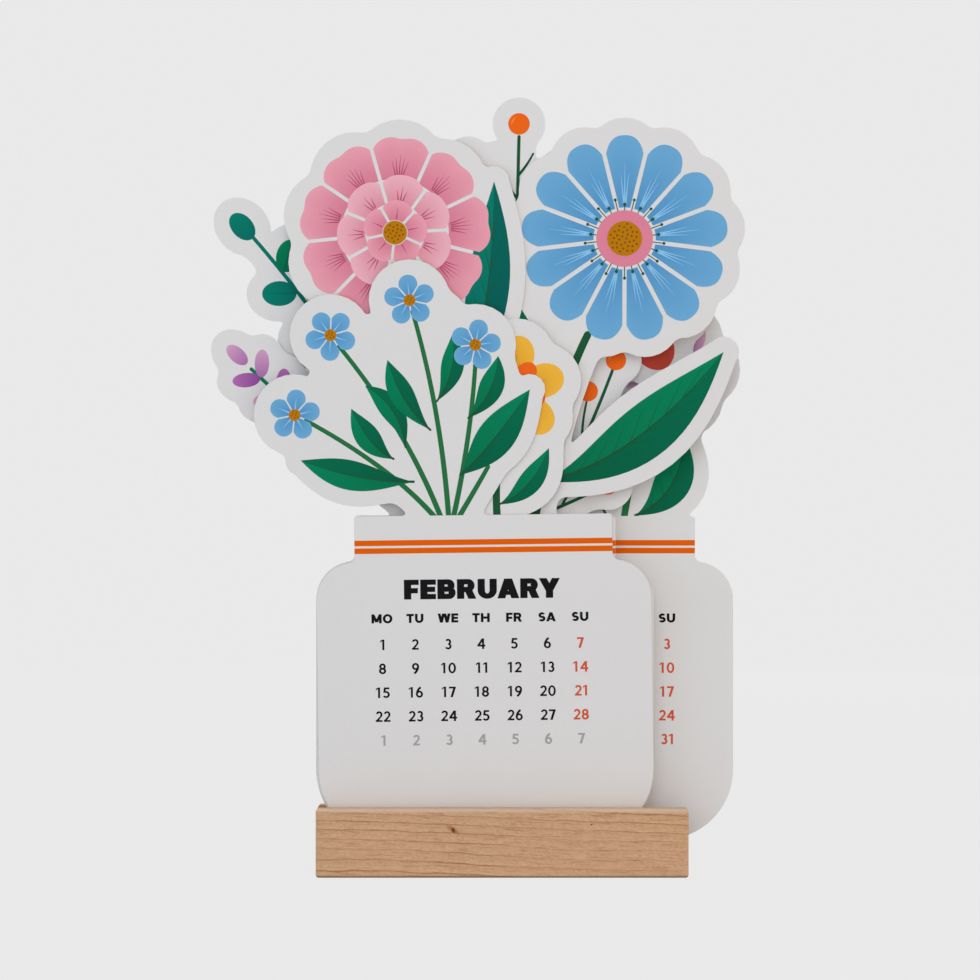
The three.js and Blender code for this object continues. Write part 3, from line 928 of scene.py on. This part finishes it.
def march(card):
    card.stem((4, -3), (2, 16), (8, 44), 2.4, "dark")
    card.leaf((4, 4), (16, 8), (22, 24), 8)
    card.ring(8, 44, 6, 3, 20, "ochre", 0.3, drop=0.35, power=2.0, lines=3, line_ink="mustard")
    card.ring(8, 44, 6, 2, 13, "orange", 0.3 + math.pi / 6, drop=0.4, power=2.0)
    card.eye(8, 44, 4.6, "brown")
    card.eye(8, 44, 3.0, "orange")


def april(card):
    x, y = -31, 100
    card.stem((-6, -3), (-8, 40), (x + 4, y - 36), 2.6)
    card.leaf((-9, 36), (4, 70), (4, 118), 15, ("teal", "pine"), veins=6)
    card.leaf((-10, 44), (-30, 50), (-46, 62), 11, ("teal", "pine"), veins=4)
    card.ring(x, y, 9, 19, 34.0, "pink", 0.1, gap=1.3, drop=0.10, power=3.2, notch=0.9, lines=5)
    card.ring(x, y, 7, 10.5, 20.5, "pale_pink", 0.5, drop=0.12, power=2.6, lines=3)
    card.ring(x, y, 5, 4.5, 11.5, "pink", 0.2, gap=1.0, drop=0.16, power=2.4, lines=1)
    card.eye(x, y, 4.2)
    card.seeds(x, y, 3.4, 18, 0.36)


def may(card):
    x, y = 49, 98
    card.stem((17, -3), (24, 40), (x - 13, y - 34), 3.0, "dark")
    card.leaf((20, 12), (52, 18), (84, 58), 19, veins=7)
    card.leaf((20, 20), (16, 46), (12, 74), 13, veins=5)
    card.ring(x, y, 13, 11, 36.5, "blue", 0.12, gap=1.5, drop=0.16, power=2.6,
              lines=3, line_ink="pale_blue")
    card.stamens(x, y, 26, 9.6, 14.0, "dark", 0.12)
    card.eye(x, y, 10, "rose")
    card.eye(x, y, 6.2)
    card.seeds(x, y, 5.3, 34, 0.38)


def june(card):
    card.stem((12, -3), (10, 60), (12, 134), 1.3, "dark")
    card.stem((11, 88), (2, 104), (-5, 122), 1.1, "dark")
    card.stem((11, 100), (18, 112), (26, 118), 1.1, "dark")
    card.twig((4.5, 100), (4, 110), (4, 118))
    card.twig((11.5, 120), (15, 124), (17, 128))
    card.twig((11.5, 112), (8, 116), (7, 121))
    for x, y, radius in ((12, 138.5, 3.8), (-6, 125, 3.6), (4, 119, 3.4), (27, 121, 3.4)):
        card.berry(x, y, radius)


def july(card):
    start, bend, end = (-18, -3), (-46, 18), (-82, 52)
    card.stem(start, bend, end, 1.5, "leaf")
    for pair, share in enumerate((0.62, 0.73, 0.84, 0.95)):
        point, heading = along_curve(start, bend, end, share)
        length = 5.6 - 2 * (share - 0.6)
        for side in (1, -1):
            angle = math.atan2(heading.y, heading.x) + side * 0.85
            centre = polar(point, length * 1.1, angle)
            ink = "mauve" if (pair + (side > 0)) % 2 else "purple"
            card.lay([graded_oval(centre.x, centre.y, length, 0.52 * length, angle, ink)])
    card.lay([graded_oval(-87, 57, 4.6, 2.6, 2.4, "mauve")])


def august(card):
    start, bend, end = (-20, -3), (-40, 50), (-82, 98)
    card.stem(start, bend, end, 1.5, "teal")
    for index, share in enumerate((0.46, 0.54, 0.63, 0.71, 0.8, 0.87)):
        side = 1 if index % 2 == 0 else -1
        point, heading = along_curve(start, bend, end, share)
        angle = math.atan2(heading.y, heading.x) + side * 0.95
        length = 7.4 - 3.2 * (share - 0.4)
        centre = polar(point, length * 1.1, angle)
        ink = "teal" if side > 0 else "leaf"
        card.lay([graded_oval(centre.x, centre.y, length, 0.72 * length, angle, ink)])
        tip = polar(centre, length * 0.6, angle)
        card.lay([ribbon_patch(point, centre, tip, tapering(0.22, least=0.02), "pine", 6)])
    card.lay([graded_oval(-86, 102, 5.6, 3.8, 2.3, "teal")])


def september(card):
    card.stem((20, -3), (34, 20), (46, 52), 1.2, "dark")
    card.stem((22, 1), (34, 6), (42, 10), 1.1, "dark")
    card.stem((30, 16), (40, 24), (54, 30), 1.1, "dark")
    card.twig((35, 28), (35, 34), (37, 42))
    card.twig((28, 4), (30, 8), (34, 12))
    card.twig((26, 9), (30, 14), (28, 22))
    for x, y in ((47, 55), (37, 44), (44, 11), (57, 31)):
        card.berry(x, y)


def october(card):
    start, bend, end = (28, -3), (26, 40), (24, 92)
    card.stem(start, bend, end, 1.2, "dark")
    for index in range(6):
        side = 1 if index % 2 == 0 else -1
        point, _ = along_curve(start, bend, end, 0.35 + 0.1 * index)
        card.twig(point, point + Vector((side * 2, 4)), point + Vector((side * 3.4, 7)))
        card.eye(point.x + side * 3.4, point.y + 7.8, 1.3, "dark")


def november(card):
    card.stem((24, -3), (36, 30), (54, 70), 2.0)
    card.ring(54, 70, 5, 2, 20.5, "red", 0.2, gap=1.0, drop=0.4, power=1.8, lines=3)
    card.eye(54, 70, 4)
    card.seeds(54, 70, 3.2, 16, 0.34)


def december(card):
    card.stem((0, -3), (-4, 40), (-12, 92), 2.0)
    card.ring(-12, 92, 8, 4, 31.5, "cream", 0.3, drop=0.3, power=2.2, lines=3, line_ink="ochre")
    card.eye(-12, 92, 6)
    card.seeds(-12, 92, 5, 28, 0.4)


def print_stripes(card):
    half = NECK_WIDTH / 2 - EDGE_INSET
    card.lay([page_patch(box(-half, -top - STRIPE_WIDTH, half, -top), "stripe") for top in STRIPE_TOPS])


def print_page(card, month, days, first_weekday, days_before, middle):
    """The month's name, the weekdays and the days, with the neighbours' days in grey."""
    card.word(month.upper(), middle + TITLE_SHIFT, TITLE_HEIGHT, TITLE_CAP, HEAVY_TYPE, TITLE_GAP, "black")
    for column, weekday in enumerate(WEEKDAYS):
        x = middle + (column - 3) * COLUMN_PITCH
        card.word(weekday, x, HEADER_HEIGHT, HEADER_CAP, BOLD_TYPE, GAP, "black")
    rows = max(LEAST_ROWS, math.ceil((first_weekday + days) / 7))
    for cell in range(rows * 7):
        row, column = divmod(cell, 7)
        day = cell - first_weekday + 1
        ink = "sunday" if column == SUNDAY else "black"
        if day < 1:
            day += days_before
            ink = "grey"
        elif day > days:
            day -= days
            ink = "grey"
        x = middle + (column - 3) * COLUMN_PITCH
        card.word(str(day), x, FIRST_ROW_HEIGHT - row * ROW_PITCH, DIGIT_CAP, PLAIN_TYPE, GAP, ink)


BOUQUETS = (
    january, february, march, april, may, june, july, august, september, october, november, december,
)


def print_cards():
    weekday = YEAR_STARTS_ON
    for index, (month, days, shift, lean, middle) in enumerate(CARDS):
        card = CardPrint(month, shift, lean)
        BOUQUETS[index](card)
        print_stripes(card)
        print_page(card, month, days, weekday, CARDS[index - 1][1], middle)
        card.finish()
        weekday = (weekday + days) % 7


def dress_frame():
    """Gives the frame's own pieces their materials."""
    for name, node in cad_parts.items():
        node.data.materials.clear()
        node.data.materials.append(BAR_WOOD if name == "base" else CARD_STOCK)


# A seamless pale sweep: a level floor that bends up into a wall all round, in metres. It is
# lit from within as a light table is, so that it stays even behind and below the calendar,
# and it is kept from lighting the cards from below.
FLOOR_RADIUS = 3.0
BEND_RADIUS = 1.0
BEND_STEPS = 12
WALL_HEIGHT = 4.0
SWEEP_SIDES = 64
SWEEP_BASE = (0.012, 0.012, 0.012, 1)
SWEEP_GLOW = 0.810


def add_stage():
    profile = [(FLOOR_RADIUS, 0.0)]
    for step in range(1, BEND_STEPS + 1):
        angle = math.pi / 2 * step / BEND_STEPS
        profile.append((FLOOR_RADIUS + BEND_RADIUS * math.sin(angle), BEND_RADIUS * (1 - math.cos(angle))))
    profile.append((FLOOR_RADIUS + BEND_RADIUS, WALL_HEIGHT))
    points = [(0, 0, 0)]
    for radius, z in profile:
        for side in range(SWEEP_SIDES):
            place = polar((0, 0), radius, 2 * math.pi * side / SWEEP_SIDES)
            points.append((place.x, place.y, z))
    faces = [(0, 1 + side, 1 + (side + 1) % SWEEP_SIDES) for side in range(SWEEP_SIDES)]
    for ring in range(len(profile) - 1):
        low, high = 1 + ring * SWEEP_SIDES, 1 + (ring + 1) * SWEEP_SIDES
        for side in range(SWEEP_SIDES):
            beyond = (side + 1) % SWEEP_SIDES
            faces.append((low + side, high + side, high + beyond, low + beyond))
    mesh = bpy.data.meshes.new("sweep")
    mesh.from_pydata(points, [], faces)
    mesh.polygons.foreach_set("use_smooth", [True] * len(faces))
    sweep = bpy.data.objects.new("sweep", mesh)
    bpy.context.scene.collection.objects.link(sweep)
    shader = Shader("sweep", roughness=0.9, specular=0.0)
    shader.surface.inputs["Base Color"].default_value = SWEEP_BASE
    shader.surface.inputs["Emission Color"].default_value = (1, 1, 1, 1)
    shader.surface.inputs["Emission Strength"].default_value = SWEEP_GLOW
    mesh.materials.append(shader.material)
    sweep.visible_diffuse = False


# Soft square lights: name, place, target and side in metres, power in watts, and colour. The
# left one is cool and the right one is warm.
LIGHTS = (
    ("key", (-0.10, -0.70, 0.92), (0, 0, 0.20), 0.6, 1.6, (1, 1, 1)),
    ("fill", (-0.30, -1.85, 0.30), (0, 0, 0.12), 1.2, 2.2, (1, 1, 1)),
    ("left", (-1.20, -0.62, 0.20), (0, 0, 0.12), 0.8, 2.3, (0.78, 0.96, 1.16)),
    ("right", (1.20, -0.42, 0.16), (0.04, 0, 0.10), 0.7, 4.0, (1.0, 0.77, 0.52)),
    ("back", (0.40, 1.50, 0.50), (0, 0, 0.12), 1.0, 4.5, (1, 1, 1)),
)
WORLD_COLOUR = (0.985, 1.0, 1.03, 1)
WORLD_STRENGTH = 0.594


def add_lights():
    for name, place, target, side, power, colour in LIGHTS:
        data = bpy.data.lights.new(name, "AREA")
        data.shape = "SQUARE"
        data.size = side
        data.energy = power
        data.color = colour
        light = bpy.data.objects.new(name, data)
        light.location = place
        light.rotation_euler = (Vector(target) - Vector(place)).to_track_quat("-Z", "Y").to_euler()
        bpy.context.scene.collection.objects.link(light)
    world = bpy.data.worlds.new("studio")
    world.use_nodes = True
    background = world.node_tree.nodes["Background"]
    background.inputs["Color"].default_value = WORLD_COLOUR
    background.inputs["Strength"].default_value = WORLD_STRENGTH
    bpy.context.scene.world = world


def add_camera():
    data = bpy.data.cameras.new("camera")
    data.sensor_width = SENSOR_WIDTH
    data.lens = SENSOR_WIDTH * FOCAL_PIXELS / FRAME_PIXELS
    data.clip_start = 0.05
    data.clip_end = 30
    camera = bpy.data.objects.new("camera", data)
    camera.location = [value * MM for value in CAMERA_PLACE]
    camera.rotation_euler = (math.pi / 2, 0, 0)
    bpy.context.scene.collection.objects.link(camera)
    bpy.context.scene.camera = camera


add_camera()
bpy.context.scene.view_settings.view_transform = "Standard"
dress_frame()
print_cards()
add_stage()
add_lights()
